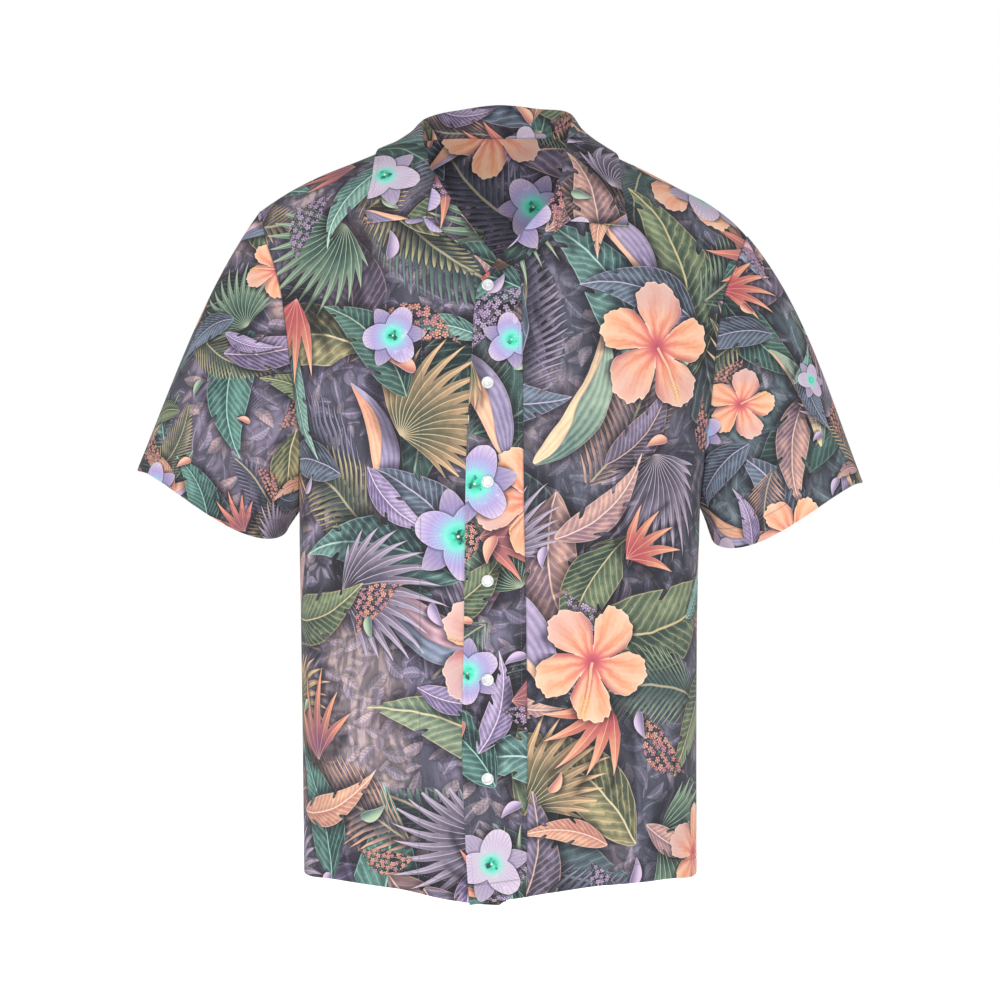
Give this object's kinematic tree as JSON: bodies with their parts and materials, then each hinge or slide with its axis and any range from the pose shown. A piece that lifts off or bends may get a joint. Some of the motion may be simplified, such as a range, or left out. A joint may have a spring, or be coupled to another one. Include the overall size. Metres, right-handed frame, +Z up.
{
  "type": "short-sleeved shirt",
  "caption": "Short-sleeved camp-collar shirt with an all-over tropical print, buttoned down a placket, filled out and open at neck, cuffs and hem.",
  "frame": {"origin": "middle of the neck hole, level with the neck ends of the shoulder seams, where a wearer's neck and shoulders hold the shirt", "axes": "+Z up along the body, -Y out of the buttoned front, +X to the wearer's left"},
  "size_m": [0.7253, 0.2792, 0.7869],
  "materials": {
    "back": "matte printed cloth",
    "front_left": "matte printed cloth",
    "front_right": "matte printed cloth",
    "placket": "matte printed cloth",
    "lapel_left": "matte printed cloth",
    "lapel_right": "matte printed cloth",
    "collar": "matte printed cloth",
    "sleeve_left": "matte printed cloth",
    "sleeve_right": "matte printed cloth",
    "button": "polished white"
  },
  "bodies": {
    "root": {"back": "back", "front_left": "front_left", "front_right": "front_right", "placket": "placket", "lapel_left": "lapel_left", "lapel_right": "lapel_right", "collar": "collar", "sleeve_left": "sleeve_left", "sleeve_right": "sleeve_right", "button_1": "button", "button_2": "button", "button_3": "button", "button_4": "button", "button_5": "button", "button_6": "button"}
  },
  "joints": []
}
